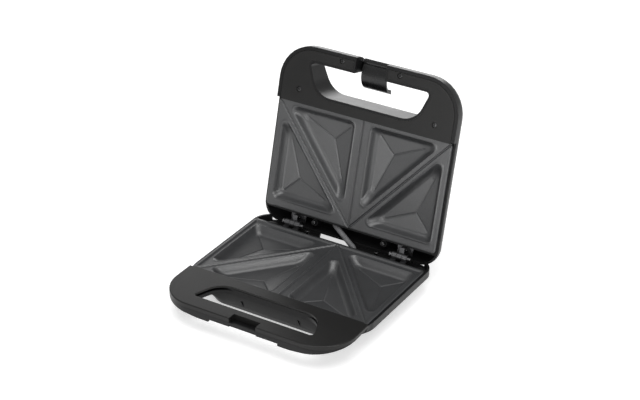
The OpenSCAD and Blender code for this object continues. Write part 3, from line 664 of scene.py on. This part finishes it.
@dataclass(frozen=True)
class Hollow:
    """One triangular hollow, worked out from its sharp outline.

    Args:
        corners: the outline's corners, anticlockwise, in the plate's millimetres.
        slope: width of the sloped wall.
        wall: depth at the foot of the wall.
        depth: depth at the middle.
        r_top: corner radius at the land.
        r_foot: corner radius at the foot of the wall.
        fold_depth, fold_width: depth and half the width of the folds in the floor.
    """

    corners: tuple[Flat, ...]
    slope: float
    wall: float
    depth: float
    r_top: float
    r_foot: float
    fold_depth: float = 0.45
    fold_width: float = 0.6

    def sides(self, x: np.ndarray, y: np.ndarray) -> np.ndarray:
        """Returns each point's distance inside each of the three sides."""
        rows = []
        p = np.array(self.corners)
        for k in range(3):
            a, b = p[k], p[(k + 1) % 3]
            way = (b - a) / np.hypot(*(b - a))
            rows.append((x - a[0]) * -way[1] + (y - a[1]) * way[0])
        return np.stack(rows)

    def centre(self) -> np.ndarray:
        """Returns the point that is equally far from the three sides."""
        p = np.array(self.corners)
        w = np.array([np.hypot(*(p[(k + 1) % 3] - p[(k + 2) % 3])) for k in range(3)])
        return (p * w[:, None]).sum(0) / w.sum()

    def inset(self, x: np.ndarray, y: np.ndarray) -> np.ndarray:
        """Returns how far inside the rounded outline each point lies.

        Args:
            x, y: the points' coordinates.

        Returns:
            Distances in millimetres, below 0 outside the hollow.
        """
        sides = self.sides(x, y)
        levels = np.linspace(-2.0, self.slope, 18)
        best = np.full(x.shape, -3.0)
        previous: Optional[np.ndarray] = None
        for step, level in enumerate(levels):
            share = max(level, 0.0) / self.slope
            radius = self.r_top + (self.r_foot - self.r_top) * share
            now = self._rounded(sides, level, radius, x, y)
            if previous is not None:
                crossed = (previous >= 0.0) & (now < 0.0)
                t = previous / np.maximum(previous - now, 1e-9)
                found = levels[step - 1] + t * (level - levels[step - 1])
                best = np.where(crossed, found, best)
            best = np.where((step == len(levels) - 1) & (now >= 0.0), self.slope + now, best)
            previous = now
        return best

    def _rounded(self, sides: np.ndarray, level: float, radius: float, x: np.ndarray,
                 y: np.ndarray) -> np.ndarray:
        """Returns the distance inside the outline drawn in by level, with rounded corners."""
        inner = sides - level - radius
        low = inner.min(0)
        result = low + radius
        p = np.array(self.corners)
        for k in range(3):
            b = p[(k + 1) % 3]
            u, w = p[k] - b, p[(k + 2) % 3] - b
            u, w = u / np.hypot(*u), w / np.hypot(*w)
            half = math.acos(float(u @ w)) / 2
            middle = b + (u + w) / np.hypot(*(u + w)) * (level + radius) / math.sin(half)
            along_u = (x - middle[0]) * u[0] + (y - middle[1]) * u[1]
            along_w = (x - middle[0]) * w[0] + (y - middle[1]) * w[1]
            corner = (along_u < 0.0) & (along_w < 0.0)
            away = np.hypot(x - middle[0], y - middle[1])
            result = np.where(corner, np.minimum(result, radius - away), result)
        return result

    def drop(self, x: np.ndarray, y: np.ndarray) -> np.ndarray:
        """Returns the hollow's depth below the land at each point.

        Args:
            x, y: the points' coordinates.

        Returns:
            Depths in millimetres, 0 outside.
        """
        inset = self.inset(x, y)
        s, w = self.slope, self.wall
        wall = w * WALL.read(inset / s)
        sides = self.sides(x, y)
        middle = self.centre()
        inner = float(self.sides(middle[:1], middle[1:]).min())
        share = np.clip((sides.min(0) - s) / (inner - s), 0.0, 1.0)
        deep = np.where(inset > 0.93 * s, np.maximum(wall, w + (self.depth - w) * share), wall)
        fade = np.clip((inset / s - 0.75) / 0.25, 0.0, 1.0)
        fold = np.exp(-(self.crease(x, y) / self.fold_width) ** 2)
        return deep + self.fold_depth * fade * fold

    def crease(self, x: np.ndarray, y: np.ndarray) -> np.ndarray:
        """Returns each point's distance from the three folds of the hollow's floor."""
        middle = self.centre()
        best = np.full(x.shape, 99.0)
        for corner in self.corners:
            way = np.array(corner) - middle
            long = np.hypot(*way)
            way = way / long
            along = np.clip((x - middle[0]) * way[0] + (y - middle[1]) * way[1], 0.0, long)
            best = np.minimum(best, np.hypot(x - middle[0] - along * way[0],
                                             y - middle[1] - along * way[1]))
        return best


@dataclass
class CookingPlate:
    """A cast cooking plate with four triangular hollows and cutting lines between them.

    Args:
        face: which of the two plates it is.
        width: width of the plate.
        depth: depth of the plate.
        rim: width of its rim.
        land: depth of the land below the rim, on the lower plate.
        edge: thickness of the plate's edge.
        band: half the band at the middle.
        slant: half the bands along the diagonals.
        cell: size of a cell of the fine surface.
        back_cell: size of a cell of the rear surface.
        wall: distance between the two surfaces.
        side_border, rear_border, front_border: widths of the land outside the hollows.
        corner: radius of the outer corners.
        bead_out, bead_width: a bead's distance from its hollow, and half its width.
        weld: distance below which points are merged.
        hollows: the four hollows, worked out from the other sizes.
    """

    face: Face
    width: float = 230.0
    depth: float = 132.0
    rim: float = 3.0
    land: float = 1.8
    edge: float = 4.3
    band: float = 11.0
    slant: float = 6.0
    cell: float = 0.6
    back_cell: float = 4.0
    wall: float = 2.4
    side_border: float = 7.5
    rear_border: float = 10.0
    front_border: float = 6.0
    corner: float = 5.0
    bead_out: float = 0.55
    bead_width: float = 0.6
    weld: float = 0.02
    hollows: list[Hollow] = field(default_factory=list)

    def __post_init__(self) -> None:
        """Works out the four hollows."""
        half = self.width / 2
        tilt = math.cos(math.atan2(self.depth, half))

        def across(y: float, side: float) -> float:
            """Returns a diagonal's X at a given Y, moved sideways."""
            return (-y - side / tilt) * half / self.depth

        def along(x: float, side: float) -> float:
            """Returns a diagonal's Y at a given X, moved sideways."""
            return -(x * self.depth / half + side / tilt)

        y0, y1 = -self.rear_border, -(self.depth - self.front_border)
        x1 = half - self.side_border
        front = ((self.band, y1), (across(y1, self.slant), y1),
                 (self.band, along(self.band, self.slant)))
        rear = ((across(y0, -self.slant), y0), (x1, along(x1, -self.slant)), (x1, y0))
        for shape in (front, rear):
            other = tuple((-x, y) for x, y in (shape[0], shape[2], shape[1]))
            for corners in (shape, other):
                self.hollows.append(Hollow(corners, 8.4, 9.3, 11.2, 6.2, 5.6))

    def height(self, x: np.ndarray, y: np.ndarray) -> np.ndarray:
        """Returns the face's height at each point, 0 at the rim.

        Args:
            x, y: the points' coordinates.

        Returns:
            Heights in millimetres.
        """
        half = self.width / 2
        in_edge = np.minimum(np.minimum(half - np.abs(x), -y), y + self.depth)
        slope = math.atan2(self.depth, half)
        from_diagonal = np.abs(np.abs(x) * math.sin(slope) + y * math.cos(slope))
        from_line = np.minimum(np.abs(x), from_diagonal)
        if self.face is Face.LOWER:
            base = -self.land
            top = (base + RIDGE.read(from_line)) * (1.0 - RIM.read(in_edge - self.rim))
        else:
            base = 0.0
            top = -GROOVE.read(from_line)
        top = top - EDGE.read(in_edge)
        for hollow in self.hollows:
            past = (hollow.inset(x, y) + self.bead_out) / self.bead_width
            top = top + BEAD[self.face] * np.exp(-past ** 2)
            drop = hollow.drop(x, y)
            top = np.where(drop > 0.12, np.minimum(top, base - drop), top)
        return top

    def _sheet(self, cell: float, offset: float) -> Piece:
        """Adds a grid over the plate and moves its points onto the face.

        Args:
            cell: size of a cell in millimetres.
            offset: how far below the face it lies.

        Returns:
            The shaped sheet, in the plate's millimetres.
        """
        bpy.ops.object.select_all(action="DESELECT")
        bpy.ops.mesh.primitive_grid_add(x_subdivisions=int(self.width / cell),
                                        y_subdivisions=int(self.depth / cell), size=1.0)
        sheet = bpy.context.active_object
        places = np.empty(len(sheet.data.vertices) * 3)
        sheet.data.vertices.foreach_get("co", places)
        places = places.reshape(-1, 3)
        x = places[:, 0] * self.width
        y = (places[:, 1] - 0.5) * self.depth
        r = self.corner
        cx = self.width / 2 - r
        for cy in (-r, -self.depth + r):
            past = (np.abs(x) > cx) & ((y > cy) if cy == -r else (y < cy))
            dx, dy = np.abs(x) - cx, y - cy
            away = np.maximum(np.hypot(dx, dy), 1e-9)
            pull = np.where(past & (away > r), r / away, 1.0)
            x = np.where(past, np.sign(x) * (cx + dx * pull), x)
            y = np.where(past, cy + dy * pull, y)
        places[:, 0], places[:, 1] = x, y
        places[:, 2] = self.height(x, y) - offset
        if offset > 0.0:
            border = np.minimum(np.minimum(self.width / 2 - np.abs(x), -y),
                                y + self.depth) < self.rim
            places[:, 2] = np.where(border, -self.edge, places[:, 2])
        sheet.data.vertices.foreach_set("co", places.reshape(-1))
        sheet.data.update()
        return sheet

    def build(self) -> Piece:
        """Builds the plate and sets it into the base or the lid.

        Returns:
            The finished plate.
        """
        top = self._sheet(self.cell, 0.0)
        back = self._sheet(self.back_cell, self.wall)
        with editing(back):
            bpy.ops.mesh.flip_normals()
        pick(top)
        back.select_set(True)
        bpy.ops.object.join()
        plate = bpy.context.active_object
        plate.name = plate.data.name = f"{self.face.value}_cooking_plate"
        with editing(plate):
            bpy.ops.mesh.remove_doubles(threshold=self.weld)
            bpy.ops.mesh.select_all(action="DESELECT")
            bpy.ops.mesh.select_mode(type="EDGE")
            bpy.ops.mesh.select_non_manifold(extend=False, use_wire=False, use_boundary=True,
                                             use_multi_face=False, use_non_contiguous=False,
                                             use_verts=False)
            bpy.ops.mesh.bridge_edge_loops()
            bpy.ops.mesh.select_all(action="SELECT")
            bpy.ops.mesh.normals_make_consistent(inside=False)
        if self.face is Face.LOWER:
            plate.data.transform(LAYOUT.base())
        else:
            plate.data.transform(LAYOUT.lid() @ Matrix.Scale(-1.0, 4, Vector((0, 0, 1))))
            plate.data.flip_normals()
        plate.data.update()
        finish_mesh(plate, 30.0)
        dress(plate, Finishes.COATING)
        body = Body.BASE if self.face is Face.LOWER else Body.LID
        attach(plate, body.value)
        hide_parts(f"{self.face.value}_plate")
        return plate


# ---- sleeve and screws


@dataclass
class Sleeve:
    """The braided sleeve that carries the leads from the base into the lid.

    Args:
        route: points of its middle line in the base's millimetres.
        radius: its outer radius in millimetres.
        steps, sides: rings from one point of the route to the next, and faces around.
        bend: two points of the route; not used.
    """

    route: tuple[Point, ...] = (
        (17, 3, -17.5), (17, 6, -17.4), (16.4, 8.5, -15.4), (14.8, 10.5, -11.4),
        (12.7, 12.3, -7.6), (7, 14.8, -5.7), (1.5, 17.3, -3.8), (-4, 20, -2),
        (-9.5, 22.6, -0.2), (-15, 25.3, 1.6), (-20.3, 28.3, 3), (-23, 30.6, 4.3),
        (-24.2, 32, 6.6), (-24.5, 32.8, 9.4))
    radius: float = 3.2
    steps: int = 8
    sides: int = 24
    bend: tuple[int, int] = (4, 11)

    def build(self) -> Piece:
        """Builds the sleeve as a smooth tube with a UV map.

        Returns:
            The finished sleeve.
        """
        points = np.array(self.route, float)
        fine = []
        for i in range(len(points) - 1):
            p0, p1 = points[max(i - 1, 0)], points[i]
            p2, p3 = points[i + 1], points[min(i + 2, len(points) - 1)]
            for k in range(self.steps):
                t = k / self.steps
                fine.append(0.5 * (2 * p1 + (p2 - p0) * t
                                   + (2 * p0 - 5 * p1 + 4 * p2 - p3) * t * t
                                   + (3 * p1 - p0 - 3 * p2 + p3) * t ** 3))
        fine.append(points[-1])
        mesh = bpy.data.meshes.new("lead_sleeve")
        piece = add_object("lead_sleeve", mesh)
        work = bmesh.new()
        layer = work.loops.layers.uv.new("UVMap")
        sides, rings = self.sides, []
        for i, point in enumerate(fine):
            way = Vector(fine[min(i + 1, len(fine) - 1)] - fine[max(i - 1, 0)]).normalized()
            a = way.cross(Vector((1.0, 0.3, 0.0))).normalized()
            b = way.cross(a)
            rings.append([work.verts.new(Vector(point) + self.radius * (
                a * math.cos(2 * math.pi * k / sides) + b * math.sin(2 * math.pi * k / sides)))
                for k in range(sides)])
        for i in range(len(rings) - 1):
            for k in range(sides):
                spots = ((i, k), (i, k + 1), (i + 1, k + 1), (i + 1, k))
                quad = work.faces.new([rings[u][v % sides] for u, v in spots])
                for loop, (u, v) in zip(quad.loops, spots):
                    loop[layer].uv = (u / (len(rings) - 1), v / sides)
        work.faces.new(reversed(rings[0]))
        work.faces.new(rings[-1])
        bmesh.ops.recalc_face_normals(work, faces=work.faces)
        work.to_mesh(mesh)
        work.free()
        mesh.transform(LAYOUT.base())
        finish_mesh(piece, 40.0)
        dress(piece, Finishes.SLEEVE)
        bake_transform(piece)
        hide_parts("wire_sleeve")
        return piece


@dataclass
class ScrewSet:
    """Pan-head screws with a cross recess, which stand for one packed group of screws.

    Args:
        node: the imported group.
        piece: name of the new piece.
        body: body that it rides on.
        seats: each head's underside, in the body's own millimetres.
        up: 1 when the heads point along the body's own +Z, -1 when along -Z.
        length: length of the shank.
        head: height of the head.
        head_radius, shank_radius: radii of the head and the shank.
        edge: radius of the head's edge.
        recess: length and width of the cross recess, and twice its depth.
        spin: degrees that each screw is turned past the one before.
        finish: its finish.
    """

    node: str
    piece: str
    body: Body
    seats: tuple[Point, ...]
    up: float
    length: float
    head: float
    head_radius: float = 2.8
    shank_radius: float = 1.5
    edge: float = 0.65
    recess: Point = (3.0, 0.62, 1.5)
    spin: float = 37.0
    finish: Metal = Finishes.SCREW

    def _one(self) -> Piece:
        """Models one screw pointing up, with its head's underside at the origin."""
        bpy.ops.object.select_all(action="DESELECT")
        bpy.ops.mesh.primitive_cylinder_add(
            vertices=32, radius=self.head_radius, depth=self.head,
            location=(0.0, 0.0, self.head / 2))
        screw = bpy.context.active_object
        bpy.ops.object.transform_apply(location=True, rotation=True, scale=True)
        edges = [e for e in screw.data.edges
                 if all(screw.data.vertices[v].co.z > self.head - 0.01 for v in e.vertices)]
        for part in (screw.data.vertices, screw.data.edges, screw.data.polygons):
            part.foreach_set("select", [False] * len(part))
        for edge in edges:
            edge.select = True
        bpy.ops.object.mode_set(mode="EDIT")
        bpy.ops.mesh.select_mode(type="EDGE")
        bpy.ops.mesh.bevel(offset=self.edge, segments=4, affect="EDGES")
        bpy.ops.mesh.select_all(action="DESELECT")
        bpy.ops.mesh.primitive_cylinder_add(
            vertices=24, radius=self.shank_radius, depth=self.length + 0.2,
            location=(0.0, 0.0, 0.1 - self.length / 2))
        bpy.ops.object.mode_set(mode="OBJECT")
        for turn in (0.0, 90.0):
            bpy.ops.object.select_all(action="DESELECT")
            bpy.ops.mesh.primitive_cube_add(size=1.0, location=(0.0, 0.0, self.head))
            slot = bpy.context.active_object
            slot.scale = self.recess
            slot.rotation_euler = (0.0, 0.0, math.radians(turn + 20.0))
            bpy.ops.object.transform_apply(location=True, rotation=True, scale=True)
            cut = screw.modifiers.new("recess", "BOOLEAN")
            cut.operation = "DIFFERENCE"
            cut.solver = "EXACT"
            cut.object = slot
            pick(screw)
            bpy.ops.object.modifier_apply(modifier=cut.name)
            bpy.data.objects.remove(slot)
        return screw

    def build(self) -> Piece:
        """Copies the screw to each seat.

        Returns:
            The finished group of screws.
        """
        first = self._one()
        place = LAYOUT.lid() if self.body is Body.LID else LAYOUT.base()
        flip = Matrix.Rotation(math.pi, 4, "X") if self.up < 0 else Matrix.Identity(4)
        copies = []
        for index, seat in enumerate(self.seats):
            copy = add_object(self.piece, first.data.copy())
            spin = Matrix.Rotation(math.radians(self.spin * index), 4, "Z")
            copy.data.transform(place @ Matrix.Translation(Vector(seat)) @ flip @ spin)
            copies.append(copy)
        bpy.data.objects.remove(first)
        pick(copies[0])
        for copy in copies[1:]:
            copy.select_set(True)
        if len(copies) > 1:
            bpy.ops.object.join()
        piece = bpy.context.active_object
        piece.name = self.piece
        piece.data.name = self.piece
        finish_mesh(piece, 35.0)
        dress(piece, self.finish)
        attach(piece, self.body.value)
        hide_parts(self.node)
        return piece


# ---- sub-assemblies


@dataclass
class Shells:
    """The base's and the lid's mouldings with their handle covers."""

    pieces: tuple[Refined, ...] = (
        Refined("lower_housing", "base_moulding", Body.BASE, "housing", Finishes.HOUSING,
                0.5 * MM),
        Refined("upper_housing", "lid_moulding", Body.LID, "housing", Finishes.HOUSING,
                0.5 * MM),
        Refined("lower_handle_cover", "base_handle_cover", Body.BASE, "handle_cover",
                Finishes.COVER, 0.35 * MM),
        Refined("upper_handle_cover", "lid_handle_cover", Body.LID, "handle_cover",
                Finishes.COVER, 0.5 * MM),
        Refined("latch", "swinging_latch", Body.LATCH, "latch", Finishes.LATCH, 0.5 * MM, 3),
        Refined("rubber_feet", "rubber_foot_pads", Body.BASE, "foot", Finishes.RUBBER,
                0.5 * MM),
        Refined("sleeve_clamp", "sleeve_saddle", Body.BASE, "clamp", Finishes.HOUSING,
                0.3 * MM),
    )

    def build(self, frame: dict) -> None:
        """Builds each moulding in the loaded model."""
        for piece in self.pieces:
            piece.build(frame)


@dataclass
class HingeWork:
    """Hinge leaves and pins, with rounded sheared edges."""

    bevel: float = 0.25 * MM

    def build(self, frame: dict) -> None:
        """Builds the leaves and pins.

        Args:
            frame: the loaded model.
        """
        for level, body in (("lower", Body.BASE), ("upper", Body.LID)):
            for side in ("left", "right"):
                Refined(f"{level}_hinge_{side}", f"{level}_leaf_{side}", body, "hinge",
                        Finishes.STEEL, self.bevel).build(frame)
        for side in ("left", "right"):
            Refined(f"hinge_pin_{side}", f"headed_pin_{side}", Body.BASE, "pin",
                    Finishes.PIN, self.bevel).build(frame)


@dataclass
class Fasteners:
    """Every screw that can be seen, by its places on the right-hand half."""

    upper_cover: tuple[Flat, ...] = ((38.0, -192.4), (90.0, -147.4))
    lower_cover: tuple[Flat, ...] = ((50.0, -191.0), (86.0, -186.0))
    tab: tuple[Flat, ...] = ((47.0, 7.0),)
    hinge: tuple[Flat, ...] = ((73.0, 9.0),)

    @staticmethod
    def _seats(places: Sequence[Flat], height: float) -> tuple[Point, ...]:
        """Returns seats at one height, at each place and its mirror image."""
        return tuple((side * x, y, height) for x, y in places for side in (-1, 1))

    def build(self) -> None:
        """Builds the sets of screws."""
        lid, base = Body.LID, Body.BASE
        for node, piece, body, places, height, up, length, head in (
            ("upper_cover_screws", "lid_cover_screws", lid, self.upper_cover, -0.4, -1, 10, 1.2),
            ("lower_cover_screws", "base_cover_screws", base, self.lower_cover, -6.7, -1, 7, 1.8),
            ("lower_plate_screws", "lower_plate_fixings", base, self.tab, -1.8, 1, 10, 1.8),
            ("upper_plate_screws", "upper_plate_fixings", lid, self.tab, 1.8, -1, 10, 1.8),
            ("lower_hinge_screws", "lower_leaf_screws", base, self.hinge, -16.5, 1, 8, 1.8),
            ("upper_hinge_screws", "upper_leaf_screws", lid, self.hinge, 10.1, -1, 8, 1.8),
        ):
            each = ScrewSet(node, piece, body, self._seats(places, height), up, length, head)
            made = each.build()
            LOG.info("%s holds %d screws", made.name, len(each.seats))


@dataclass
class InnerParts:
    """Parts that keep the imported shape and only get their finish, named by their nodes."""

    finishes: tuple[tuple[Skin | Metal, tuple[str, ...]], ...] = (
        (Finishes.HEATER, ("lower_heater", "upper_heater")),
        (Finishes.SHIELD, ("lower_heat_shield", "upper_heat_shield")),
        (Finishes.SCREW, ("lower_shield_screws", "upper_shield_screws")),
        (Finishes.CERAMIC, ("thermal_fuse", "thermostat")),
        (Finishes.TERMINAL, ("terminal_block",)),
        (Finishes.RUBBER, ("cord_gland",)),
        (Finishes.LENS, ("indicator_lenses",)),
        (Finishes.LAMP, ("indicator_lamps",)),
        (Finishes.PIN, ("latch_pin",)),
    )

    def build(self, frame: dict) -> None:
        """Dresses each node.

        Args:
            frame: the loaded model.
        """
        for finish, nodes in self.finishes:
            for node in nodes:
                dress(frame["nodes"][node], finish)
                LOG.info("%s keeps its shape", node)


# ---- studio


@dataclass(frozen=True)
class Lamp:
    """A soft rectangular light.

    Args:
        name: the lamp's name.
        place: where it stands.
        aim: the point that it faces.
        size: its width and height.
        power: its power in watts.
    """

    name: str
    place: Point
    aim: Point
    size: tuple[float, float]
    power: float

    def build(self) -> None:
        """Adds the lamp to the scene."""
        data = bpy.data.lights.new(self.name, "AREA")
        data.shape = "RECTANGLE"
        data.size, data.size_y = self.size
        data.energy = self.power
        lamp = add_object(self.name, data)
        lamp.location = self.place
        way = Vector(self.place) - Vector(self.aim)
        lamp.rotation_euler = way.to_track_quat("Z", "Y").to_euler()


@dataclass
class Studio:
    """White floor, soft light and the photograph's camera.

    Args:
        azimuth, elevation: the camera's angles in degrees, from the front and the table.
        distance: its distance in millimetres.
        focal: its focal length in pixels of a picture 640 pixels wide.
        right_shift, up_shift: how far it stands off its line, in millimetres.
        floor_tone: lightness of the floor.
        floor_seen, floor_mirrored: what the camera and glossy surfaces see on top of it.
        sky_light: the surround's strength as light.
        sky_mirrored: what glossy surfaces see on top of it.
        lamps: the lamps.
    """

    azimuth: float = 31.71
    elevation: float = 29.167
    distance: float = 2011.74
    focal: float = 1725.46
    right_shift: float = -21.35
    up_shift: float = 50.65
    floor_tone: float = 0.80
    floor_seen: float = 0.50
    floor_mirrored: float = 0.35
    sky_light: float = 0.38
    sky_mirrored: float = 0.05
    lamps: tuple[Lamp, ...] = (
        Lamp("key", (1.6, -0.75, 0.6), (0.0, 0.0, 0.1), (0.7, 0.7), 11.0),
        Lamp("fill", (-0.05, -1.8, 0.4), (0.0, 0.0, 0.1), (0.8, 0.6), 9.0),
        Lamp("top", (0.35, -0.45, 1.8), (0.0, 0.0, 0.0), (1.5, 1.5), 24.0),
        Lamp("back", (-1.3, 1.2, 0.9), (0.0, 0.1, 0.1), (0.8, 0.6), 1.5),
        Lamp("rear", (-0.95, 2.0, 0.45), (0.0, 0.1, 0.15), (1.4, 0.6), 9.0),
    )

    def camera(self) -> None:
        """Sets the camera where the photograph's was."""
        a, e = math.radians(self.azimuth), math.radians(self.elevation)
        back = Vector((math.sin(a) * math.cos(e), -math.cos(a) * math.cos(e), math.sin(e)))
        right = Vector((math.cos(a), math.sin(a), 0.0))
        up = back.cross(right)
        place = back * self.distance + right * self.right_shift + up * self.up_shift
        data = bpy.data.cameras.new("photograph")
        data.sensor_width = 36.0
        data.lens = self.focal * 36.0 / 640.0
        data.clip_end = 50.0
        camera = add_object("photograph", data)
        turn = Matrix((right, up, back)).transposed().to_4x4()
        camera.matrix_world = Matrix.Translation(LAYOUT.base() @ place) @ turn
        bpy.context.scene.camera = camera

    def floor(self) -> None:
        """Adds the white floor, which shows the object's shadow."""
        bpy.ops.object.select_all(action="DESELECT")
        bpy.ops.mesh.primitive_plane_add(size=30.0, location=(0.0, 0.0, 0.0))
        floor = bpy.context.active_object
        floor.name = "white_floor"
        tone = (self.floor_tone,) * 3
        material, tree, shader = plain_material("white floor", tone)
        shader.inputs["Base Color"].default_value = (*tone, 1.0)
        shader.inputs["Roughness"].default_value = 0.9
        shader.inputs["Specular IOR Level"].default_value = 0.1
        glow = tree.add("ShaderNodeEmission")
        glow.inputs["Color"].default_value = (1.0, 1.0, 1.0, 1.0)
        paths = tree.add("ShaderNodeLightPath")
        seen = tree.maths("MULTIPLY", paths.outputs["Is Camera Ray"], self.floor_seen)
        mirrored = tree.maths("MULTIPLY", paths.outputs["Is Glossy Ray"], self.floor_mirrored)
        tree.link(tree.maths("ADD", seen, mirrored), glow.inputs["Strength"])
        total = tree.add("ShaderNodeAddShader")
        out = material.node_tree.nodes["Material Output"]
        tree.link(shader.outputs["BSDF"], total.inputs[0])
        tree.link(glow.outputs["Emission"], total.inputs[1])
        tree.link(total.outputs["Shader"], out.inputs["Surface"])
        floor.data.materials.append(material)
        floor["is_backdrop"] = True

    def world(self) -> None:
        """Sets a white surround that is plain to the camera and softer as light."""
        world = bpy.data.worlds.new("surround")
        bpy.context.scene.world = world
        world.use_nodes = True
        tree = Tree(world.node_tree)
        sky = world.node_tree.nodes["Background"]
        sky.inputs["Color"].default_value = (1.0, 1.0, 1.0, 1.0)
        paths = tree.add("ShaderNodeLightPath")
        mirrored = tree.maths("MULTIPLY", paths.outputs["Is Glossy Ray"], self.sky_mirrored)
        seen = tree.spread(paths.outputs["Is Camera Ray"], 0.0, 1.0, self.sky_light, 1.0)
        tree.link(tree.maths("ADD", seen, mirrored), sky.inputs["Strength"])

    def build(self) -> None:
        """Builds floor, world, lamps and camera."""
        bpy.context.scene.view_settings.view_transform = "Standard"
        self.world()
        self.floor()
        for lamp in self.lamps:
            lamp.build()
        self.camera()
        LOG.info("studio with %d lamps", len(self.lamps))


def corners() -> list[list[float]]:
    """Returns the shown object's lowest and highest corners as plain numbers."""
    low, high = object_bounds()
    return [list(low), list(high)]


def main() -> None:
    """Builds the whole scene in order."""
    logging.basicConfig(level=logging.INFO, format="%(name)s: %(message)s")
    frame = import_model()
    Studio().build()
    Shells().build(frame)
    for face in Face:
        plate = CookingPlate(face).build()
        LOG.info("%s has %d faces", plate.name, len(plate.data.polygons))
    HingeWork().build(frame)
    Fasteners().build()
    sleeve = Sleeve().build()
    LOG.info("%s bends with the lid", sleeve.name)
    InnerParts().build(frame)


if __name__ == "__main__":
    main()
